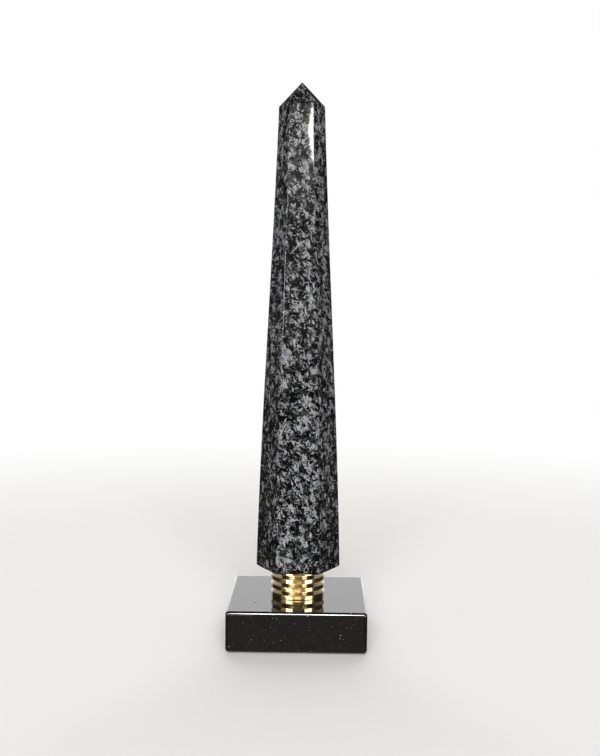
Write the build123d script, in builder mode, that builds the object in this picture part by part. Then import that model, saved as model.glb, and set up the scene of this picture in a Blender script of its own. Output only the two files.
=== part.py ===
from build123d import *
from math import atan2, cos, degrees, radians, tan
import os

# Desk obelisk: a tapered six-sided shaft of polished gabbro with a pyramid point, standing on a
# turned brass collar and a square block of polished black granite with felt pads.
#
# Millimetres, +Z up. The origin is the middle of the plane that the pads rest on. One flat side of
# the shaft and one side of the block face -Y, and two arrises of the shaft point along +X and -X.
# A tie rod, fixed in a blind hole in the shaft, passes through the collar and the block, and a nut
# and washer in a counterbore clamp the stack from below.

# Granite block
block_side = 100.0
block_height = 29.0
block_edge_radius = 2.3

# Felt pads, one under each corner of the block
pad_diameter = 14.0
pad_thickness = 1.0
pad_inset = 16.0

# Brass collar: rings with deep grooves between them
ring_diameter = 39.6
core_diameter = 25.0
ring_count = 4
ring_thickness = 3.1
groove_width = 2.9
ring_edge_radius = 0.25
core_corner_radius = 0.3

# Gabbro shaft, measured over the corners of its hexagon. Its sides lean in by different angles at
# the foot and at the shoulder and run in a shallow curve between them.
shaft_foot_diameter = 61.9
shaft_shoulder_diameter = 33.4
shaft_height = 336.4
foot_lean = 1.3
shoulder_lean = 1.9
point_height = 17.4
point_tip_radius = 0.8
shoulder_easing = 0.4
arris_radius = 0.4
foot_bevel = 0.7

# M8 fixing
rod_diameter = 8.0
rod_end_chamfer = 1.0
rod_clearance = 0.6
rod_depth_in_shaft = 45.0
blind_hole_spare = 2.0
rod_below_nut = 1.0
nut_across_flats = 13.0
nut_height = 6.5
nut_corner_angle = 30.0
thread_clearance = 0.1
washer_diameter = 16.0
washer_thickness = 1.6
counterbore_diameter = 24.0
counterbore_depth = 11.0

# Heights of the faces where the pieces meet
block_underside = pad_thickness
block_top = block_underside + block_height
ring_pitch = ring_thickness + groove_width
collar_height = ring_count * ring_pitch - groove_width
shaft_foot = block_top + collar_height
shaft_shoulder = shaft_foot + shaft_height
shaft_tip = shaft_shoulder + point_height
washer_top = block_underside + counterbore_depth
washer_underside = washer_top - washer_thickness
nut_underside = washer_underside - nut_height

rod_hole_radius = (rod_diameter + rod_clearance) / 2
apothem_per_diameter = cos(radians(30)) / 2


os.makedirs("parts", exist_ok=True)


# Granite block, rounded on all its edges, bored for the rod and counterbored from below
with BuildPart() as block:
    with BuildSketch(Plane.XY.offset(block_underside)):
        Rectangle(block_side, block_side)
    extrude(amount=block_height)
    fillet(block.edges(), block_edge_radius)
    with Locations(Plane(origin=(0, 0, block_underside), z_dir=(0, 0, -1))):
        CounterBoreHole(rod_hole_radius, counterbore_diameter / 2, counterbore_depth)
block.part.label = "granite_block"
export_step(block.part, "parts/granite_block.step")


# Brass collar, turned in one piece: a core with rings round it
with BuildPart() as collar:
    with BuildSketch(Plane.XY.offset(block_top)):
        Circle(core_diameter / 2)
    extrude(amount=collar_height)
    for ring in range(ring_count):
        with BuildSketch(Plane.XY.offset(block_top + ring * ring_pitch)):
            Circle(ring_diameter / 2)
        extrude(amount=ring_thickness)
    turned_edges = collar.edges().filter_by(GeomType.CIRCLE).group_by(SortBy.RADIUS)
    fillet(turned_edges[0], core_corner_radius)
    fillet(turned_edges[-1], ring_edge_radius)
    with Locations((0, 0, block_top)):
        Hole(rod_hole_radius)
collar.part.label = "brass_collar"
export_step(collar.part, "parts/brass_collar.step")


# Gabbro shaft: three upright slabs with the shaft's side profile cross at 60 degrees, and what they
# share is the hexagon, its bevelled foot, its eased shoulders and its point
with BuildPart() as shaft:
    foot_apothem = shaft_foot_diameter * apothem_per_diameter
    shoulder_apothem = shaft_shoulder_diameter * apothem_per_diameter
    bevel_start = foot_apothem - foot_bevel
    bevel_top = shaft_foot + foot_bevel
    foot_slope = tan(radians(foot_lean)) * cos(radians(30))
    shoulder_slope = tan(radians(shoulder_lean)) * cos(radians(30))
    for turn in range(3):
        slab_plane = Plane.YZ.rotated((0, 0, 60 * turn)).offset(-shaft_foot_diameter)
        with BuildSketch(slab_plane) as profile:
            with BuildLine():
                Line((-bevel_start, shaft_foot), (bevel_start, shaft_foot))
                for side in (-1, 1):
                    Line((side * bevel_start, shaft_foot), (side * foot_apothem, bevel_top))
                    Spline(
                        (side * foot_apothem, bevel_top),
                        (side * shoulder_apothem, shaft_shoulder),
                        tangents=((-side * foot_slope, 1), (-side * shoulder_slope, 1)),
                    )
                    Line((side * shoulder_apothem, shaft_shoulder), (0, shaft_tip))
            make_face()
            fillet(profile.vertices().group_by(Axis.Y)[-1], point_tip_radius)
            fillet(profile.vertices().group_by(Axis.Y)[2], shoulder_easing)
        extrude(amount=2 * shaft_foot_diameter, mode=Mode.INTERSECT if turn else Mode.ADD)

    def on_arris(edge):
        """Whether an edge climbs along one of the shaft's six corners."""
        climbs = abs((edge @ 0).Z - (edge @ 1).Z) > arris_radius
        middle = edge @ 0.5
        degrees_past_corner = (degrees(atan2(middle.Y, middle.X)) + 30) % 60 - 30
        return climbs and abs(degrees_past_corner) < 1

    fillet(shaft.edges().filter_by(on_arris), arris_radius)
    with Locations(Plane(origin=(0, 0, shaft_foot), z_dir=(0, 0, -1))):
        Hole(rod_hole_radius, rod_depth_in_shaft + blind_hole_spare)
shaft.part.label = "gabbro_shaft"
export_step(shaft.part, "parts/gabbro_shaft.step")


# Tie rod, at its nominal diameter
with BuildPart() as rod:
    rod_bottom = nut_underside - rod_below_nut
    with BuildSketch(Plane.XY.offset(rod_bottom)):
        Circle(rod_diameter / 2)
    extrude(amount=shaft_foot + rod_depth_in_shaft - rod_bottom)
    chamfer(rod.edges().filter_by(GeomType.CIRCLE), rod_end_chamfer)
rod.part.label = "tie_rod"
export_step(rod.part, "parts/tie_rod.step")


# Washer against the roof of the counterbore
with BuildPart() as washer:
    with BuildSketch(Plane.XY.offset(washer_underside)):
        Circle(washer_diameter / 2)
        Circle(rod_hole_radius, mode=Mode.SUBTRACT)
    extrude(amount=washer_thickness)
washer.part.label = "washer"
export_step(washer.part, "parts/washer.step")


# Hexagon nut, its corners turned off by a cone at each end
with BuildPart() as nut:
    with BuildSketch(Plane.XY.offset(nut_underside)):
        RegularPolygon(nut_across_flats / 2, 6, major_radius=False)
        Circle((rod_diameter + thread_clearance) / 2, mode=Mode.SUBTRACT)
    extrude(amount=nut_height)
    flat_radius = nut_across_flats / 2
    corner_radius = flat_radius / cos(radians(30))
    cone_height = (corner_radius - flat_radius) * tan(radians(nut_corner_angle))
    with BuildSketch(Plane.XZ):
        with BuildLine():
            Polyline(
                (0, nut_underside),
                (flat_radius, nut_underside),
                (corner_radius, nut_underside + cone_height),
                (corner_radius, washer_underside - cone_height),
                (flat_radius, washer_underside),
                (0, washer_underside),
                close=True,
            )
        make_face()
    revolve(axis=Axis.Z, mode=Mode.INTERSECT)
nut.part.label = "nut"
export_step(nut.part, "parts/nut.step")


# Felt pads
pad_reach = block_side / 2 - pad_inset
pad_places = {
    "front_left": (-pad_reach, -pad_reach),
    "front_right": (pad_reach, -pad_reach),
    "back_left": (-pad_reach, pad_reach),
    "back_right": (pad_reach, pad_reach),
}
for corner_name, place in pad_places.items():
    with BuildPart() as pad:
        with BuildSketch(Plane.XY):
            with Locations(place):
                Circle(pad_diameter / 2)
        extrude(amount=pad_thickness)
    pad.part.label = f"felt_pad_{corner_name}"
    export_step(pad.part, f"parts/{pad.part.label}.step")
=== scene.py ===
"""Looks of the desk obelisk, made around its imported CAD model.

Metres, +Z up. One flat side of the shaft and one side of the block face -Y, which is the front.
"""
from math import atan2, ceil, cos, pi, radians, sin, tan

import bpy
from mathutils import Matrix, Vector


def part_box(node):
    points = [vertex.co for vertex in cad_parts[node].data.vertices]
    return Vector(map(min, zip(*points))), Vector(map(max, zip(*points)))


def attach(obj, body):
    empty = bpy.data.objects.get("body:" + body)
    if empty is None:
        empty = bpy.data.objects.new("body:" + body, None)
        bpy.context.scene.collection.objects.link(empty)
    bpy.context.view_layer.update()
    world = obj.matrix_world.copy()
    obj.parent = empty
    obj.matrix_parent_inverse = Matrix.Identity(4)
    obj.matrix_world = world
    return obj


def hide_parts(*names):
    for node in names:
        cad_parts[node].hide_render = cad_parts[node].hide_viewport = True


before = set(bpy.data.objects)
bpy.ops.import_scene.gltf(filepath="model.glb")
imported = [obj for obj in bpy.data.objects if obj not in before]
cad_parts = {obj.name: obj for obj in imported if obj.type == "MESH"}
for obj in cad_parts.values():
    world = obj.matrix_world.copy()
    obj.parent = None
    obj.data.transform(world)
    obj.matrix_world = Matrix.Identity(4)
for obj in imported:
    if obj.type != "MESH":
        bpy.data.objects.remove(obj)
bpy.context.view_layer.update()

MM = 0.001
sharp_angle = radians(40)
nearly_straight = radians(179)


# ---------------------------------------------------------------- sizes that the frame gives

shaft_low, shaft_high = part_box("gabbro_shaft")
collar_low, collar_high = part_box("brass_collar")
block_low, block_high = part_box("granite_block")
rod_low, rod_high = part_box("tie_rod")
washer_low, washer_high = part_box("washer")
nut_low, nut_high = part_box("nut")

# The shaft. Lengths over the corners of its hexagon
foot_radius = 30.95 * MM
shoulder_radius = 16.7 * MM
foot_lean = radians(1.3)
shoulder_lean = radians(1.9)
foot_bevel = 0.7 * MM
point_height = 17.4 * MM
tip_drop = 0.45 * MM
shoulder_easing = 0.1 * MM
tip_radius = 0.8 * MM
arris_radius = 0.45 * MM
face_crown = 0.25 * MM
crown_power = 3.2
# Near the tip the arrises and the crown shrink with the hexagon, to these shares of its apothem
largest_arris_share = 0.6
largest_crown_share = 0.05
rod_hole_radius = 4.3 * MM
rod_hole_depth = 47 * MM
level_spacing = 2 * MM
face_steps = 22
arris_steps = 5
profile_steps = 6
# The outline of the tip ends this far from the axis, where loft caps it
tip_opening = 0.02 * MM

half_angle = radians(30)
shoulder_z = shaft_high.z + tip_drop - point_height


# ---------------------------------------------------------------- meshes

def arc(centre, radius, start, end, steps):
    """Points on an arc in a plane, both ends included. Angles in degrees."""
    points = []
    for i in range(steps + 1):
        angle = radians(start + (end - start) * i / steps)
        points.append((centre[0] + radius * cos(angle), centre[1] + radius * sin(angle)))
    return points


def rounded_path(corners, steps=5):
    """A path in a plane through corners of (x, y, rounding radius), its ends left sharp."""
    path = [corners[0][:2]]
    for before, corner, after in zip(corners, corners[1:], corners[2:]):
        here = Vector(corner[:2])
        radius = corner[2]
        towards_before = (Vector(before[:2]) - here).normalized()
        towards_after = (Vector(after[:2]) - here).normalized()
        turn = towards_before.angle(towards_after)
        if radius <= 0 or turn > nearly_straight:
            path.append(tuple(here))
            continue
        tangent_length = radius / tan(turn / 2)
        centre = here + (towards_before + towards_after).normalized() * radius / sin(turn / 2)
        first = here + towards_before * tangent_length - centre
        last = here + towards_after * tangent_length - centre
        start = atan2(first.y, first.x)
        sweep = (atan2(last.y, last.x) - start + pi) % (2 * pi) - pi
        for i in range(steps + 1):
            angle = start + sweep * i / steps
            path.append((centre.x + radius * cos(angle), centre.y + radius * sin(angle)))
    path.append(corners[-1][:2])
    return path


def circle(radius, z, count):
    """A level ring of points round the Z axis, counterclockwise from +X."""
    ring = []
    for i in range(count):
        angle = 2 * pi * i / count
        ring.append((radius * cos(angle), radius * sin(angle), z))
    return ring


def loft(name, rings, closed=False):
    """A mesh object through rings of equally many points. Its ends are joined if closed, else capped."""
    count = len(rings[0])
    points = [point for ring in rings for point in ring]
    faces = []
    spans = len(rings) if closed else len(rings) - 1
    for level in range(spans):
        low = level * count
        high = (level + 1) % len(rings) * count
        for i in range(count):
            j = (i + 1) % count
            faces.append((low + i, low + j, high + j, high + i))
    if not closed:
        for level, order in ((0, -1), (len(rings) - 1, 1)):
            middle = sum((Vector(p) for p in rings[level]), Vector()) / count
            points.append(tuple(middle))
            hub = len(points) - 1
            for i in range(count):
                a = level * count + i
                b = level * count + (i + 1) % count
                faces.append((hub, a, b) if order > 0 else (hub, b, a))
    return mesh_object(name, points, faces)


def lathe(name, profile, count):
    """A turned piece: a closed profile of (radius, z) going once round the Z axis."""
    return loft(name, [circle(radius, z, count) for radius, z in profile], closed=True)


def mesh_object(name, points, faces):
    mesh = bpy.data.meshes.new(name)
    mesh.from_pydata([tuple(p) for p in points], [], faces)
    mesh.validate()
    mesh.update()
    piece = bpy.data.objects.new(name, mesh)
    bpy.context.scene.collection.objects.link(piece)
    return piece


def dress(piece, material, slot, *nodes):
    """Smooth shading that keeps flat faces flat, the material, and the piece's place in the frame."""
    for polygon in piece.data.polygons:
        polygon.use_smooth = True
    piece.data.set_sharp_from_angle(angle=sharp_angle)
    piece.modifiers.new("flat faces stay flat", "WEIGHTED_NORMAL").keep_sharp = True
    piece.data.materials.append(material)
    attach(piece, "root")
    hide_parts(*nodes)


# ---------------------------------------------------------------- material nodes

class Nodes:
    """Adds nodes to one material's or world's tree, each as a call that gives its output socket."""

    def __init__(self, owner):
        owner.use_nodes = True
        self.tree = owner.node_tree
        self.tree.nodes.clear()

    def add(self, kind, inputs=None, out=0, **settings):
        node = self.tree.nodes.new("ShaderNode" + kind)
        for key, value in settings.items():
            setattr(node, key, value)
        for key, value in (inputs or {}).items():
            if isinstance(value, bpy.types.NodeSocket):
                self.tree.links.new(value, node.inputs[key])
            else:
                node.inputs[key].default_value = value
        return node.outputs[out] if node.outputs else None

    def math(self, operation, a, b=0.0):
        return self.add("Math", {0: a, 1: b}, operation=operation)

    def step(self, value, low, high, to_low=0.0, to_high=1.0):
        """Goes smoothly from to_low to to_high as value goes from low to high."""
        return self.add(
            "MapRange",
            {"Value": value, "From Min": low, "From Max": high, "To Min": to_low, "To Max": to_high},
            interpolation_type="SMOOTHSTEP",
        )

    def blend(self, factor, a, b, mode="MIX"):
        """Mixes two colours."""
        return self.add("Mix", {0: factor, 6: a, 7: b}, out=2, data_type="RGBA", blend_type=mode)

    def noise(self, vector, scale, detail=2.0, roughness=0.5, out=0):
        return self.add(
            "TexNoise",
            {"Vector": vector, "Scale": scale, "Detail": detail, "Roughness": roughness},
            out=out,
        )

    def ramp(self, value, stops):
        """A colour ramp through (place, grey or colour) stops."""
        socket = self.add("ValToRGB", {0: value})
        elements = socket.node.color_ramp.elements
        while len(elements) < len(stops):
            elements.new(1.0)
        for element, (place, colour) in zip(elements, stops):
            element.position = place
            element.color = colour if len(colour) == 4 else (*colour, 1.0)
        return socket

    def millimetres(self):
        """Places on the object, in millimetres."""
        place = self.add("TexCoord", out="Object")
        return self.add("VectorMath", {0: place, "Scale": 1 / MM}, operation="SCALE")

    def warp(self, vector, size, amount, detail=2.0):
        """Moves places about by up to half of amount, in waves of about size millimetres."""
        colour = self.noise(vector, 1 / size, detail, 0.5, out="Color")
        centred = self.add("VectorMath", {0: colour, 1: (0.5, 0.5, 0.5)}, operation="SUBTRACT")
        scaled = self.add("VectorMath", {0: centred, "Scale": amount}, operation="SCALE")
        return self.add("VectorMath", {0: vector, 1: scaled}, operation="ADD")

    def surface(self, colour, roughness, bump=None, bump_distance=MM, **settings):
        """Links a Principled shader. Other settings go on its own sockets, as names with _ for space."""
        inputs = {"Base Color": colour, "Roughness": roughness}
        if bump is not None:
            inputs["Normal"] = self.add(
                "Bump", {"Height": bump, "Distance": bump_distance, "Strength": 1.0}
            )
        for key, value in settings.items():
            inputs[key.replace("_", " ")] = value
        shader = self.add("BsdfPrincipled", inputs)
        self.add("OutputMaterial", {"Surface": shader})


def new_material(name):
    material = bpy.data.materials.new(name)
    return material, Nodes(material)


# ---------------------------------------------------------------- gabbro

def gabbro_material():
    """Dark gabbro: shards, rims and threads of pale feldspar among black and charcoal grains, polished."""
    material, n = new_material("gabbro")
    fineness = 1.36
    edge_softness = 0.008
    place = n.add("VectorMath", {0: n.millimetres(), "Scale": fineness}, operation="SCALE")
    swept = n.warp(place, 9.0, 6.0, 1.0)
    jagged = n.warp(swept, 1.8, 1.0, 2.0)
    frayed = n.warp(n.warp(swept, 4.0, 2.8, 1.0), 1.5, 0.8, 1.0)

    def grains(index, turn, size, source=jagged, feature="F1"):
        """Long grains turned and sized in millimetres, and a way back from their own places."""
        setting = {"Location": (17.3 * index, 31.7 * index, 11.9 * index), "Rotation": turn, "Scale": size}
        moved = n.add("Mapping", {"Vector": source, **setting}, vector_type="TEXTURE")
        near = n.add("TexVoronoi", {"Vector": moved, "Scale": 1.0}, out="Distance", feature=feature)
        return near, setting

    # Feldspar is scarcer in the point. Painted shade and light: scarcer low on the sides, denser higher up
    apart = n.add("SeparateXYZ", {0: n.millimetres()}, out="X")
    height = apart.node.outputs["Z"]
    shoulder = shoulder_z / MM
    # Painted shade: fewer pale grains low on the sides
    sides = n.step(n.math("ABSOLUTE", apart), 13.0, 24.0)
    point_and_painted_height_light = n.math("ADD", n.step(height, shoulder - 5.0, shoulder + 2.0, 0.0, 0.10),
                   n.step(height, 110.0, 200.0, 0.0, -0.008))
    scarcity_with_painted_shade = n.math("ADD", point_and_painted_height_light, n.math("MULTIPLY", sides, n.step(height, 60.0, 200.0, 0.075, 0.0)))

    def shards(index, turn, size):
        """Whole grains. Gives how pale a grain is among its neighbours and its own random value."""
        near, setting = grains(index, turn, size)
        colour = n.add("SeparateColor", {0: near.node.outputs["Color"]}, out="Red")
        tone = colour.node.outputs["Green"]
        own = n.add("Mapping", {"Vector": near.node.outputs["Position"], **setting}, vector_type="POINT")
        cluster = n.noise(own, 1 / 7.0, 2.0, 0.6)
        score = n.math("ADD", cluster, n.math("MULTIPLY", n.math("SUBTRACT", colour, 0.5), 0.32))
        return n.math("SUBTRACT", score, scarcity_with_painted_shade), tone

    # Feldspar: clusters of angular shards that point in several directions
    shard_layers = (
        ((0.3, 1.1, 0.4), (6.0, 1.7, 2.1), 0.668), ((1.2, 0.1, 1.7), (5.2, 1.4, 1.7), 0.670),
        ((0.7, 2.0, 2.6), (5.6, 1.6, 1.5), 0.670), ((1.7, 0.8, 0.9), (4.0, 1.2, 1.2), 0.670),
        ((2.5, 0.3, 2.2), (2.8, 0.9, 0.9), 0.668),
    )
    pale = None
    for index, (turn, size, rarity) in enumerate(shard_layers):
        score, tone = shards(index, turn, size)
        shade = n.step(tone, 0.0, 1.0, 0.4, 1.0)
        layer = n.math("MULTIPLY", n.step(score, rarity, rarity + edge_softness), shade)
        pale = layer if pale is None else n.math("MAXIMUM", pale, layer)

    # Thin pale rims and threads round dark grains, broken up by a slow noise
    rim_near, _ = grains(30, (0.5, 0.9, 0.3), (5.0, 3.4, 3.8), frayed, "DISTANCE_TO_EDGE")
    rim_width = n.step(n.noise(swept, 1 / 6.0, 2.0, 0.5), 0.45, 0.69, -0.03, 0.10)
    rims = n.step(n.math("SUBTRACT", rim_width, rim_near), -0.01, 0.03)
    thread_near, _ = grains(40, (1.3, 0.2, 1.2), (3.0, 1.9, 1.9), frayed, "DISTANCE_TO_EDGE")
    thread_width = n.step(n.noise(swept, 1 / 4.0, 2.0, 0.5), 0.52, 0.75, -0.05, 0.13)
    threads = n.step(n.math("SUBTRACT", thread_width, thread_near), -0.01, 0.04)
    pale = n.math("MAXIMUM", pale, n.math("MULTIPLY", rims, 0.9))
    pale = n.math("MAXIMUM", pale, n.math("MULTIPLY", threads, 0.8))

    # Small dark specks inside the feldspar
    speck_near, _ = grains(50, (0.2, 0.6, 1.0), (1.5, 1.1, 1.1), frayed)
    chance = n.add("SeparateColor", {0: speck_near.node.outputs["Color"]}, out="Red")
    specks = n.math("MULTIPLY", n.step(speck_near, 0.42, 0.30), n.step(chance, 0.70, 0.72))
    pale = n.math("MULTIPLY", pale, n.step(specks, 0.0, 1.0, 1.0, 0.1))

    # Ground: black grains, and some that are charcoal or grey
    ground_tone = shards(20, (0.6, 0.2, 0.8), (4.2, 2.6, 2.8))[1]
    ground = n.ramp(ground_tone, [(0.0, (0.002, 0.002, 0.0025)), (0.54, (0.0025, 0.0027, 0.003)),
                                  (0.68, (0.010, 0.0105, 0.010)), (0.86, (0.034, 0.036, 0.034)),
                                  (1.0, (0.065, 0.070, 0.068))])
    fine = n.noise(jagged, 1 / 1.4, 3.0, 0.65)
    value = n.math("MULTIPLY", pale, n.step(fine, 0.25, 0.65, 0.75, 1.06))
    feldspar = n.ramp(value, [(0.2, (0.02, 0.021, 0.023)), (0.55, (0.15, 0.152, 0.16)),
                              (1.0, (0.40, 0.40, 0.415))])
    colour = n.blend(n.step(value, 0.12, 0.40), ground, feldspar)

    # The stone's tints drift between lavender blue and olive
    drift = n.ramp(n.noise(swept, 1 / 14.0, 2.0, 0.6), [
        (0.36, (1.0, 0.985, 0.95)), (0.5, (0.99, 1.0, 0.995)), (0.64, (0.97, 0.975, 1.03)),
    ])
    colour = n.blend(1.0, colour, drift, "MULTIPLY")

    waves = n.noise(n.millimetres(), 1 / 7.0, 1.0, 0.4)
    relief = n.math("ADD", n.math("MULTIPLY", waves, 0.05), n.math("MULTIPLY", value, 0.0015))
    n.surface(colour, 0.08, bump=relief, bump_distance=MM, Specular_IOR_Level=0.5)
    return material


# ---------------------------------------------------------------- other materials

def brass_material():
    """Turned, polished brass with a little tarnish, duller on the level faces, and painted shade between
    rings.
    """
    material, n = new_material("brass")
    place = n.millimetres()
    level = n.math("ABSOLUTE", n.add("SeparateXYZ", {0: n.add("NewGeometry", out="Normal")}, out="Z"))
    # Painted shade: the level faces get a darker colour
    flat = n.step(level, 0.75, 0.95)
    tarnish = n.step(n.noise(n.warp(place, 4.0, 3.0), 1 / 5.0, 4.0, 0.6), 0.45, 0.75)
    wall = n.blend(n.math("MULTIPLY", tarnish, 0.4), (0.88, 0.73, 0.43, 1.0), (0.60, 0.42, 0.20, 1.0))
    painted_shade_level_face = n.blend(n.math("MULTIPLY", tarnish, 0.4), (0.51, 0.42, 0.27, 1.0), (0.42, 0.33, 0.21, 1.0))
    # Turning marks run round the axis: they change with height and with distance from the axis
    apart = n.add("SeparateXYZ", {0: place}, out="X")
    height = apart.node.outputs["Z"]
    sideways = n.add("CombineXYZ", {"X": apart, "Y": apart.node.outputs["Y"]})
    reach = n.add("VectorMath", {0: sideways}, out="Value", operation="LENGTH")
    # Painted shade: the core between the rings is a little darker and warmer
    painted_groove_shade = n.step(reach, 15.5, 13.5)
    colour = n.blend(flat, n.blend(painted_groove_shade, wall, (0.86, 0.68, 0.37, 1.0)), painted_shade_level_face)

    marks = n.noise(n.add("CombineXYZ", {"X": reach, "Z": height}), 1 / 0.22, 2.0, 0.6)
    roughness = n.math("ADD", n.step(level, 0.75, 0.95, 0.05, 0.28), n.math("MULTIPLY", tarnish, 0.08))
    n.surface(colour, roughness, bump=marks, bump_distance=0.0012 * MM, Metallic=1.0)
    return material


pit_place = (-30.0, -25.7, block_high.z / MM)
pit_radius = 0.95
pit_floor_radius = 0.70


def granite_material():
    """Polished black granite: charcoal clouds, sparse pale specks and one small pit in the top."""
    material, n = new_material("black_granite")
    place = n.millimetres()
    clouds = n.noise(n.warp(place, 3.0, 2.0), 1 / 1.8, 3.0, 0.6)
    ground = n.ramp(clouds, [(0.3, (0.003, 0.003, 0.0032)), (0.55, (0.009, 0.0088, 0.0085)),
                             (0.75, (0.020, 0.019, 0.017))])
    near = n.add("TexVoronoi", {"Vector": n.warp(place, 0.7, 0.35), "Scale": 1 / 2.6}, out="Distance")
    random = n.add("SeparateColor", {0: near.node.outputs["Color"]}, out="Red")
    paleness = n.math("POWER", random, 4.0)
    fleck = n.math("MULTIPLY", n.step(near, 0.15, 0.09), paleness)
    colour = n.blend(fleck, ground, (0.60, 0.60, 0.56, 1.0))
    away = n.add("VectorMath", {0: place, 1: pit_place}, out="Value", operation="DISTANCE")
    pit = n.step(away, pit_radius, pit_floor_radius)
    roughness = n.math("MAXIMUM", n.step(clouds, 0.3, 0.8, 0.02, 0.05), n.math("MULTIPLY", pit, 0.9))
    colour = n.blend(pit, colour, (0.002, 0.002, 0.002, 1.0))
    n.surface(colour, roughness, IOR=1.55)
    return material


def steel_material():
    """Zinc-plated steel with the faint clouds and scratches of handling."""
    material, n = new_material("steel")
    place = n.millimetres()
    clouds = n.noise(n.warp(place, 3.0, 2.0), 1 / 2.5, 4.0, 0.6)
    drawn = n.add("VectorMath", {0: place, 1: (6.0, 0.5, 3.0)}, operation="MULTIPLY")
    scratches = n.noise(drawn, 1.0, 3.0, 0.7)
    colour = n.ramp(clouds, [
        (0.3, (0.46, 0.47, 0.50)), (0.5, (0.56, 0.57, 0.58)), (0.72, (0.66, 0.65, 0.60)),
    ])
    roughness = n.math("ADD", n.step(clouds, 0.3, 0.7, 0.20, 0.34), n.math("MULTIPLY", scratches, 0.1))
    n.surface(colour, roughness, bump=scratches, bump_distance=0.01 * MM, Metallic=1.0)
    return material


def felt_material():
    """Black wool felt: matted fibres with pale tips."""
    material, n = new_material("felt")
    matted = n.warp(n.warp(n.millimetres(), 1.2, 1.5, 3.0), 0.3, 0.3, 2.0)
    fibres, crossing = [
        n.noise(n.add("VectorMath", {0: matted, 1: lay}, operation="MULTIPLY"), 1.0, 4.0, 0.7)
        for lay in ((5.0, 1.2, 2.5), (1.2, 5.0, 2.5))
    ]
    pile = n.math("MAXIMUM", fibres, crossing)
    colour = n.ramp(pile, [
        (0.4, (0.010, 0.010, 0.011)), (0.6, (0.024, 0.024, 0.026)), (0.78, (0.065, 0.065, 0.068)),
    ])
    n.surface(colour, 0.95, bump=pile, bump_distance=0.3 * MM, Sheen_Weight=0.25, Sheen_Roughness=0.5)
    return material


gabbro = gabbro_material()
brass = brass_material()
granite = granite_material()
steel = steel_material()
felt = felt_material()


# ---------------------------------------------------------------- shaft

def side_curve(z):
    """The shaft's radius over its corners at a height between foot and shoulder."""
    height = shoulder_z - shaft_low.z
    t = (z - shaft_low.z) / height
    return (
        (2 * t**3 - 3 * t**2 + 1) * foot_radius
        - (t**3 - 2 * t**2 + t) * height * tan(foot_lean)
        + (-2 * t**3 + 3 * t**2) * shoulder_radius
        - (t**3 - t**2) * height * tan(shoulder_lean)
    )


def hexagon(apothem, z):
    """A level ring of the shaft: six faces, slightly crowned by hand polishing, and rounded arrises."""
    rounding = min(arris_radius, largest_arris_share * apothem)
    crown = min(face_crown, largest_crown_share * apothem)
    ring = []
    for corner in range(6):
        corner_direction = radians(60 * corner)
        reach = (apothem - rounding) / cos(half_angle)
        centre = (reach * cos(corner_direction), reach * sin(corner_direction))
        ring += [
            (x, y, z)
            for x, y in arc(centre, rounding, 60 * corner - 30, 60 * corner + 30, arris_steps)
        ]
        face_direction = corner_direction + half_angle
        half_face = reach / 2
        for i in range(1, face_steps):
            along = -cos(pi * i / face_steps)
            out = apothem + crown * (1 - abs(along) ** crown_power)
            across = half_face * along
            ring.append((
                out * cos(face_direction) - across * sin(face_direction),
                out * sin(face_direction) + across * cos(face_direction),
                z,
            ))
    return ring


def build_shaft():
    """The shaft through level hexagons from foot to tip, with the rod's blind hole from below."""
    per_corner = cos(half_angle)
    levels = ceil((shoulder_z - shaft_low.z) / level_spacing)
    path = [(foot_radius * per_corner - foot_bevel, shaft_low.z, 0)]
    for i in range(levels + 1):
        z = shaft_low.z + foot_bevel + (shoulder_z - shaft_low.z - foot_bevel) * i / levels
        path.append((side_curve(z) * per_corner, z, 0))
    x, z, _ = path[-1]
    path[-1] = (x, z, shoulder_easing)
    tip = shaft_high.z + tip_drop
    path += [(0, tip, tip_radius), (-x, z, 0)]
    outline = [p for p in rounded_path(path, profile_steps) if p[0] > tip_opening]
    count = 6 * (arris_steps + face_steps)
    rings = [circle(rod_hole_radius, shaft_low.z + rod_hole_depth, count)]
    rings.append(circle(rod_hole_radius, shaft_low.z, count))
    rings += [hexagon(apothem, z) for apothem, z in outline]
    return loft("gabbro_shaft_polished", rings)


dress(build_shaft(), gabbro, "gabbro", "gabbro_shaft")


# ---------------------------------------------------------------- collar

ring_radius = collar_high.x
core_radius = 12.5 * MM
ring_count = 4
ring_thickness = 3.1 * MM
ring_pitch = 6.0 * MM
ring_edge = 0.3 * MM
core_corner = 0.3 * MM
collar_rounding_steps = 4
collar_steps = 180


def build_collar():
    """The collar's profile, ring by ring from below, turned round the axis."""
    path = [(rod_hole_radius, collar_low.z, 0)]
    for ring in range(ring_count):
        under = collar_low.z + ring * ring_pitch
        over = under + ring_thickness
        if ring:
            path.append((core_radius, under, core_corner))
        path += [(ring_radius, under, ring_edge), (ring_radius, over, ring_edge)]
        if ring < ring_count - 1:
            path.append((core_radius, over, core_corner))
    path.append((rod_hole_radius, collar_high.z, 0))
    return lathe("brass_collar_turned", rounded_path(path, collar_rounding_steps), collar_steps)


dress(build_collar(), brass, "brass", "brass_collar")


# ---------------------------------------------------------------- block

block_edge_radius = 2.3 * MM
edge_steps = 6
bore_steps = 96
counterbore_radius = 12 * MM


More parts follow.
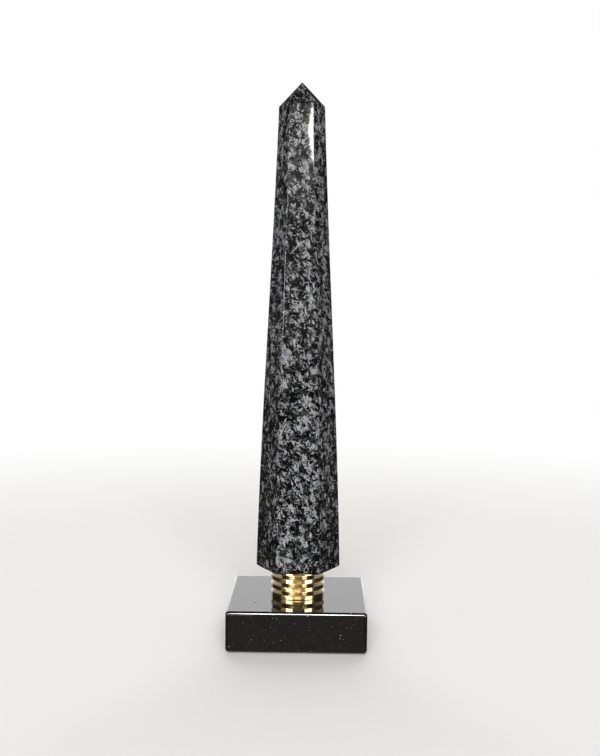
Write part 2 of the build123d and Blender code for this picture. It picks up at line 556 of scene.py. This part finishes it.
def build_block():
    """A rounded block: a core box whose surface is pushed out by the edge radius, bored from below."""
    half = (block_high - block_low) / 2
    middle = (block_high + block_low) / 2
    core = half - Vector((block_edge_radius,) * 3)
    lean = [tan(radians(45) * i / edge_steps) for i in range(edge_steps + 1)]
    offsets = [-value for value in reversed(lean)] + lean
    sides = [-1] * (edge_steps + 1) + [1] * (edge_steps + 1)
    last = len(offsets) - 1
    places = {}
    points = []
    faces = []

    def vertex(i, j, k):
        if (i, j, k) not in places:
            out = Vector((offsets[i], offsets[j], offsets[k])).normalized() * block_edge_radius
            at = Vector((sides[i] * core.x, sides[j] * core.y, sides[k] * core.z))
            places[i, j, k] = len(points)
            points.append(middle + at + out)
        return places[i, j, k]

    for a in range(last):
        for b in range(last):
            wide = a == edge_steps and b == edge_steps
            quads = (
                [(0, a, b), (0, a, b + 1), (0, a + 1, b + 1), (0, a + 1, b)],
                [(last, a, b), (last, a + 1, b), (last, a + 1, b + 1), (last, a, b + 1)],
                [(a, 0, b), (a + 1, 0, b), (a + 1, 0, b + 1), (a, 0, b + 1)],
                [(a, last, b), (a, last, b + 1), (a + 1, last, b + 1), (a + 1, last, b)],
                [(a, b, 0), (a, b + 1, 0), (a + 1, b + 1, 0), (a + 1, b, 0)],
                [(a, b, last), (a + 1, b, last), (a + 1, b + 1, last), (a, b + 1, last)],
            )
            for side, quad in enumerate(quads):
                if not (wide and side >= 4):
                    faces.append([vertex(*corner) for corner in quad])

    # The level faces are fans from their corners to the round openings
    low = edge_steps
    high = edge_steps + 1

    def bored_face(k, radius, z, upward):
        ring = len(points)
        points.extend(Vector(p) for p in circle(radius, z, bore_steps))
        corners = [vertex(high, high, k), vertex(low, high, k), vertex(low, low, k), vertex(high, low, k)]
        quarter = bore_steps // 4
        for side, corner in enumerate(corners):
            for i in range(quarter):
                a = ring + (side * quarter + i) % bore_steps
                b = ring + (side * quarter + i + 1) % bore_steps
                faces.append([corner, b, a] if upward else [corner, a, b])
            shared = ring + (side * quarter + quarter) % bore_steps
            following = corners[(side + 1) % 4]
            faces.append([corner, following, shared] if upward else [following, corner, shared])
        return ring

    def wall(ring, radius, z, flip):
        """Joins a ring to a new one of another radius or height."""
        new = len(points)
        points.extend(Vector(p) for p in circle(radius, z, bore_steps))
        for i in range(bore_steps):
            j = (i + 1) % bore_steps
            quad = [ring + i, ring + j, new + j, new + i]
            faces.append(quad[::-1] if flip else quad)
        return new

    top = bored_face(last, rod_hole_radius, block_high.z, True)
    bottom = bored_face(0, counterbore_radius, block_low.z, False)
    roof_edge = wall(bottom, counterbore_radius, washer_high.z, True)
    bore_foot = wall(roof_edge, rod_hole_radius, washer_high.z, True)
    for i in range(bore_steps):
        j = (i + 1) % bore_steps
        faces.append([bore_foot + i, top + i, top + j, bore_foot + j])
    return mesh_object("granite_block_polished", points, faces)


dress(build_block(), granite, "black_granite", "granite_block")


# ---------------------------------------------------------------- fixing and pads

thread_pitch = 1.25 * MM
thread_depth = 0.61 * MM
rod_end_chamfer = 1.0 * MM
levels_per_turn = 8
rod_steps = 40
# How steep the thread's flanks are, and the share of them that its crest and root cut off
flank_slope = 1.4
flank_cut = 0.2
nut_corner_angle = radians(30)
nut_bore_radius = rod_high.x + 0.05 * MM
nut_countersink = 0.5 * MM
nut_steps = 72
nut_cone_steps = 6
washer_rounding = 0.2 * MM
washer_rounding_steps = 4
washer_steps = 96
pad_steps = 96
# A pad's rim from its underside up: the share of its thickness, and how far in it is, in millimetres
pad_rim = (
    (0.0, 0.5), (0.0, 0.2), (0.12, 0.06), (0.3, 0.0), (0.7, 0.0), (0.88, 0.06), (1.0, 0.2), (1.0, 0.5),
)
pad_unevenness = 0.12


def build_rod():
    """A threaded rod, chamfered at both ends."""
    count = rod_steps
    levels = ceil((rod_high.z - rod_low.z) / thread_pitch * levels_per_turn)
    rings = []
    for level in range(levels + 1):
        z = rod_low.z + (rod_high.z - rod_low.z) * level / levels
        from_end = min(z - rod_low.z, rod_high.z - z)
        limit = rod_high.x - max(0.0, rod_end_chamfer - from_end)
        ring = []
        for i in range(count):
            turned = (z / thread_pitch - i / count) % 1
            flank = min(1.0, max(0.0, abs(2 * turned - 1) * flank_slope - flank_cut))
            radius = min(limit, rod_high.x - thread_depth * flank)
            angle = 2 * pi * i / count
            ring.append((radius * cos(angle), radius * sin(angle), z))
        rings.append(ring)
    return loft("tie_rod_threaded", rings)


def build_nut():
    """A hexagon nut: flats cut by a cone at each end, and a countersunk bore."""
    count = nut_steps
    flat = min(nut_high.x, nut_high.y)
    corner = flat / cos(half_angle)
    first_corner = 0.0 if nut_high.x > nut_high.y else half_angle
    cone = (corner - flat) * tan(nut_corner_angle)

    def outline(z):
        from_end = min(z - nut_low.z, nut_high.z - z)
        limit = flat + from_end / tan(nut_corner_angle)
        ring = []
        for i in range(count):
            angle = 2 * pi * i / count
            past_corner = (angle - first_corner) % (2 * half_angle)
            radius = min(limit, flat / cos(past_corner - half_angle))
            ring.append((radius * cos(angle), radius * sin(angle), z))
        return ring

    steps = [cone * i / nut_cone_steps for i in range(nut_cone_steps + 1)]
    heights = [nut_low.z + step for step in steps] + [nut_high.z - step for step in reversed(steps)]
    rings = [circle(nut_bore_radius, nut_low.z + nut_countersink, count)]
    rings.append(circle(nut_bore_radius + nut_countersink, nut_low.z, count))
    rings += [outline(z) for z in heights]
    rings.append(circle(nut_bore_radius + nut_countersink, nut_high.z, count))
    rings.append(circle(nut_bore_radius, nut_high.z - nut_countersink, count))
    return loft("nut_chamfered", rings, closed=True)


def ring_profile(inner, outer, low, high, rounding):
    """A closed profile for lathe: a rectangle with rounded corners."""
    path = []
    for x, y, start in ((outer, low, -90), (outer, high, 0), (inner, high, 90), (inner, low, 180)):
        centre_x = x - rounding if x == outer else x + rounding
        centre_y = y + rounding if y == low else y - rounding
        centre = (centre_x, centre_y)
        path += arc(centre, rounding, start, start + 90, washer_rounding_steps)
    return path


def build_pad(node_name, low, high):
    """A felt disc with a soft, slightly uneven rim."""
    middle = (low + high) / 2
    radius = (high.x - low.x) / 2
    thickness = high.z - low.z
    count = pad_steps
    rings = []
    for share, inset in pad_rim:
        ring = []
        for i in range(count):
            angle = 2 * pi * i / count
            uneven = 0.5 - 0.3 * sin(5 * angle + middle.x / MM) - 0.2 * sin(13 * angle + middle.y / MM)
            out = radius - (inset + pad_unevenness * uneven) * MM
            z = low.z + share * thickness
            ring.append((middle.x + out * cos(angle), middle.y + out * sin(angle), z))
        rings.append(ring)
    return loft(f"{node_name}_cut", rings)


dress(build_rod(), steel, "steel", "tie_rod")
dress(build_nut(), steel, "steel", "nut")
washer_profile = ring_profile(rod_hole_radius, washer_high.x, washer_low.z, washer_high.z, washer_rounding)
dress(lathe("washer_stamped", washer_profile, washer_steps), steel, "steel", "washer")
for corner_name in ("front_left", "front_right", "back_left", "back_right"):
    pad_node = f"felt_pad_{corner_name}"
    dress(build_pad(pad_node, *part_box(pad_node)), felt, "felt", pad_node)


# ---------------------------------------------------------------- stage

# The floor fades to white between these distances from the object, in metres
floor_fade = (0.35, 1.1)
floor_as_seen = (0.80, 0.79, 0.77, 1.0)
floor_as_it_lights = (0.30, 0.29, 0.28, 1.0)
room_level = 0.08


def background_rays(n):
    """1 for rays that show the white background: from the camera, and off or through polished things."""
    rays = n.add("LightPath", out="Is Camera Ray")
    shiny = n.math("MAXIMUM", rays.node.outputs["Is Glossy Ray"], rays.node.outputs["Is Transmission Ray"])
    return n.math("MAXIMUM", rays, shiny)


def floor_material():
    """A pale floor that fades to white away from the object, and throws little light up at it."""
    material, n = new_material("floor")
    place = n.add("TexCoord", out="Object")
    distance = n.add("VectorMath", {0: place}, out="Value", operation="LENGTH")
    away = n.step(distance, *floor_fade)
    seen = background_rays(n)
    pale = n.blend(seen, floor_as_it_lights, floor_as_seen)
    ground = n.add("BsdfDiffuse", {"Color": pale})
    white = n.add("Emission", {"Color": (1, 1, 1, 1), "Strength": 1.0})
    mixed = n.add("MixShader", {0: n.math("MULTIPLY", away, seen), 1: ground, 2: white})
    n.add("OutputMaterial", {"Surface": mixed})
    return material


floor_half = 4.0
floor_corners = [(x * floor_half, y * floor_half, 0) for x, y in ((-1, -1), (1, -1), (1, 1), (-1, 1))]
floor = mesh_object("floor", floor_corners, [(0, 1, 2, 3)])
floor.data.materials.append(floor_material())

world = bpy.data.worlds.new("studio")
bpy.context.scene.world = world
w = Nodes(world)
white = w.add("Background", {"Color": (1, 1, 1, 1), "Strength": 1.0})
room = w.add("Background", {"Color": (1, 1, 1, 1), "Strength": room_level})
w.add("OutputWorld", {"Surface": w.add("MixShader", {0: background_rays(w), 1: room, 2: white})})


def direction(azimuth, elevation):
    """From the object: azimuth 0 is the front, -Y, and 90 is +X. Degrees."""
    a = radians(azimuth)
    e = radians(elevation)
    return Vector((sin(a) * cos(e), -cos(a) * cos(e), sin(e)))


def lamp(name, azimuth, elevation, level, spread):
    """A soft lamp. Level 1 lights a surface that faces it so that its colour renders as written."""
    light = bpy.data.lights.new(name, "SUN")
    light.energy = pi * level
    light.angle = radians(spread)
    lamp_object = bpy.data.objects.new(name, light)
    lamp_object.rotation_euler = direction(azimuth, elevation).to_track_quat("Z", "Y").to_euler()
    lamp_object.visible_glossy = False
    bpy.context.scene.collection.objects.link(lamp_object)


lamp("key", 0, 28, 0.80, 40)
lamp("fill", 4, 24, 0.28, 40)
lamp("top", 0, 88, 0.15, 90)
lamp("back", 180, 35, 0.60, 60)


def card(name, place, radiance, tint=(1, 1, 1), fade=(0.0, 0.0), one_sided=False):
    """A glowing card that only polished surfaces show.

    place(u, v) gives its points for u and v from 0 to 1. It fades out over the shares of its width and
    height in fade. A one-sided card glows only towards its front, and nothing sees its back.
    """
    columns = 32
    rows = 16
    points = [place(i / columns, j / rows) for j in range(rows + 1) for i in range(columns + 1)]
    faces = [
        (a, a + 1, a + columns + 2, a + columns + 1)
        for j in range(rows)
        for a in range(j * (columns + 1), j * (columns + 1) + columns)
    ]
    made = mesh_object(name, points, faces)
    glow = made.data.attributes.new("glow", "FLOAT", "POINT")
    for index in range(len(points)):
        share = (index % (columns + 1) / columns, index // (columns + 1) / rows)
        level = 1.0
        for along, edge in zip(share, fade):
            if edge:
                level *= min(1.0, along / edge, (1 - along) / edge)
        glow.data[index].value = level
    material, n = new_material(name)
    bounces = n.add("LightPath", out="Diffuse Depth")
    level = n.add("Attribute", out="Fac", attribute_name="glow")
    shown = n.math("MULTIPLY", level, n.step(bounces, 0.9, 0.1))
    if one_sided:
        behind = n.add("NewGeometry", out="Backfacing")
        shown = n.math("MULTIPLY", shown, n.math("SUBTRACT", 1.0, behind))
    light = n.add("Emission", {"Color": (*tint, 1.0), "Strength": radiance})
    clear = n.add("BsdfTransparent")
    n.add("OutputMaterial", {"Surface": n.add("MixShader", {0: shown, 1: clear, 2: light})})
    made.data.materials.append(material)
    made.visible_camera = False
    made.visible_diffuse = False
    made.visible_shadow = False
    made.visible_transmission = False
    made.visible_volume_scatter = False


def between(span, share):
    """The value at a share of the way along a span."""
    return span[0] + (span[1] - span[0]) * share


def far(azimuths, elevations, distance=20.0):
    """Places on a sphere round the object."""
    return lambda u, v: direction(between(azimuths, u), between(elevations, v)) * distance


def level_sector(azimuths, radii, height):
    """Places on a level sector round the object. Radii and height in millimetres."""
    lift = Vector((0, 0, height * MM))
    return lambda u, v: direction(between(azimuths, u), 0) * between(radii, v) * MM + lift


def level_rectangle(across, along, height):
    """Places on a level rectangle. Millimetres."""
    return lambda u, v: Vector((between(across, u), between(along, v), height)) * MM


def upright(azimuths, radius, heights):
    """Places on an upright strip curved round the object. Radius and heights in millimetres."""

    def place(u, v):
        return direction(between(azimuths, u), 0) * radius * MM + Vector((0, 0, between(heights, v) * MM))

    return place


warm = (1.0, 0.93, 0.82)
wood = (1.0, 0.75, 0.5)
# The dark room round the camera, and the lit backdrop behind the object
card("room", far((-140, 140), (-1, 60), 24.0), 0.06)
card("ceiling", far((-180, 180), (26, 90), 23.0), 0.06)
card("backdrop", far((140, 220), (-3, 26), 22.0), 1.5, fade=(0.1, 0.06))
card("backdrop_high", far((140, 220), (15, 26), 21.0), 1.68, fade=(0.1, 0.25))
# Walls and windows in front
card("front_wall", far((-25, 25), (9.2, 15)), 0.7, (1.0, 0.92, 0.79), fade=(0.1, 0.1))
card("front_low", far((-25, 25), (1.5, 9.2)), 0.25, warm, fade=(0.1, 0.2))
card("front_dado", far((-24, 24), (15, 20.6)), 0.28, (1.0, 0.62, 0.3), fade=(0.1, 0.0))
card("front_veil", far((-20, 20), (20.6, 58)), 2.0, warm, fade=(0.15, 0.1))
card("left_window", far((-51, -19), (9, 24)), 8.0, fade=(0.06, 0.06))
card("right_window", far((31, 66), (9, 24)), 8.0, fade=(0.06, 0.06))
card("left_jamb", far((-76, -51), (9, 40)), 0.8, (1.0, 0.78, 0.42), fade=(0.1, 0.06))
card("right_jamb", far((66, 80), (9, 40)), 0.35, (1.0, 0.8, 0.5), fade=(0.1, 0.06))
card("low_left_window", far((-60, -40), (2.4, 9.0), 18.0), 44.0, (1.0, 0.97, 0.94), fade=(0.0, 0.15))
# The table
card("table_far", level_sector((-150, 150), (250, 20000), 0.3), 0.05, warm)
card("table_near", level_sector((-180, 180), (1, 250), 0.3), 0.05, wood)
card("table_left", level_sector((-75, -51), (120, 250), 0.5), 0.18, (1.0, 0.78, 0.42), fade=(0.1, 0.0))
card("table_between", level_sector((12, 32), (150, 250), 0.4), 0.3, (1.0, 0.9, 0.6))
card("table_right", level_sector((64, 78), (120, 250), 0.5), 0.11, (1.0, 0.8, 0.5), fade=(0.1, 0.0))
card("table_front", level_rectangle((-62, 62), (-150, 0), 0.5), 0.2, warm, fade=(0.05, 0.05))
card("table_sheen", level_rectangle((-60, 50), (-183, -150), 0.5), 0.65, (1.0, 0.8, 0.45), fade=(0.1, 0.0))
card("table_front_far", level_rectangle((-60, 68), (-250, -183), 0.5), 0.32, wood, fade=(0.1, 0.0))
card("table_back", level_sector((143, 217), (215, 20000), 0.7), 3.0, fade=(0.06, 0.0))
# A slanting strip that shows in the block's front top edge alone: from above its slope only its clear
# back is seen
card(
    "edge_strip",
    lambda u, v: Vector((
        between((-66, 64), u), between((-94.3, -215.6), v), between((71.4, 141.4), v),
    )) * MM,
    125.0, fade=(0.25, 0.0), one_sided=True,
)
# A narrow near window that shows as a bright streak down the shaft's right front arris
card(
    "streak_window",
    lambda u, v: Vector((
        between((73 - 56 * sin(pi * v ** 1.1), 73), u), -320, between((400, 462), v),
    )) * MM,
    32.0, (1.0, 0.92, 0.83), fade=(0.06, 0.0),
)
# Near strips that show in the collar alone
card("strip_left", upright((-47, -17), 107, (17, 28)), 3.0, fade=(0.08, 0.0))
card("strip_right", upright((28, 60), 107, (17, 28)), 3.0, fade=(0.08, 0.0))
for name, azimuths, height, radiance, tint, fade in (
    ("shelf_left", (-50, -19), 69, 6.0, (1, 1, 1), (0.06, 0.0)),
    ("shelf_front", (-24, 21), 68.5, 5.2, (1.0, 0.85, 0.52), (0.3, 0.0)),
    ("shelf_between", (17, 33), 68, 1.5, (1.0, 0.92, 0.6), (0.0, 0.0)),
    ("shelf_right", (30, 64), 69, 6.0, (1, 1, 1), (0.06, 0.0)),
):
    card(name, level_sector(azimuths, (152, 196), height), radiance, tint, fade, one_sided=True)


# ---------------------------------------------------------------- camera

camera_place = Vector((14.3, -802.4, 255.8)) * MM
camera_tilt = radians(-4.594)
camera_heading = radians(1.003)
camera_roll = radians(0.52)
camera_lens = 52.154
camera_sensor = 36.0
camera_data = bpy.data.cameras.new("camera")
camera_data.lens = camera_lens
camera_data.sensor_width = camera_sensor
camera = bpy.data.objects.new("camera", camera_data)
turn = (
    Matrix.Rotation(camera_heading, 4, "Z")
    @ Matrix.Rotation(radians(90) + camera_tilt, 4, "X")
    @ Matrix.Rotation(camera_roll, 4, "Z")
)
camera.matrix_world = Matrix.Translation(camera_place) @ turn
bpy.context.scene.collection.objects.link(camera)
bpy.context.scene.camera = camera
bpy.context.scene.view_settings.view_transform = "Standard"
